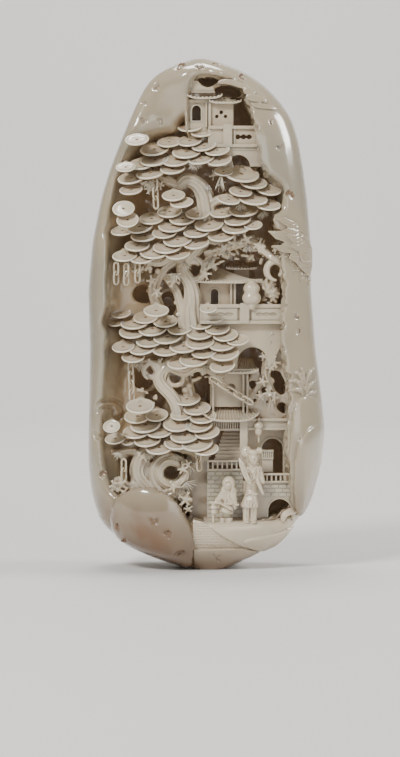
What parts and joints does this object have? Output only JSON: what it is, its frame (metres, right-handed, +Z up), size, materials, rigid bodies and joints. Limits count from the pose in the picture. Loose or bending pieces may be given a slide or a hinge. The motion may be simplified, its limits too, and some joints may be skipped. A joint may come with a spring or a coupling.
{
  "type": "jade boulder carving",
  "caption": "Upright white jade boulder carved in openwork with a pine tree, pavilions and robed figures in a deep niche, and loose stone chains.",
  "frame": {"origin": "under the middle of the stone's bounding box, on the surface that its foot rests on", "axes": "+Z up along the stone's length, +Y from the carved front to the plain back, so the front faces -Y, +X to the viewer's right"},
  "size_m": [0.1309, 0.0701, 0.28],
  "materials": {
    "white_jade": "polished greyish white nephrite with a soft, waxy shine and warm brown in the deep cuts"
  },
  "bodies": {
    "root": {"chain_bridge_link_1": "white_jade", "chain_bridge_link_2": "white_jade", "chain_bridge_link_3": "white_jade", "chain_bridge_link_4": "white_jade", "chain_crown_link_1": "white_jade", "chain_crown_link_2": "white_jade", "chain_fourth_left_link_1": "white_jade", "chain_fourth_right_link_1": "white_jade", "chain_second_left_link_1": "white_jade", "chain_second_middle_link_1": "white_jade", "chain_second_right_link_1": "white_jade", "chain_third_link_1": "white_jade", "chain_third_link_2": "white_jade", "chain_third_link_3": "white_jade", "jade_boulder": "white_jade"}
  },
  "joints": []
}
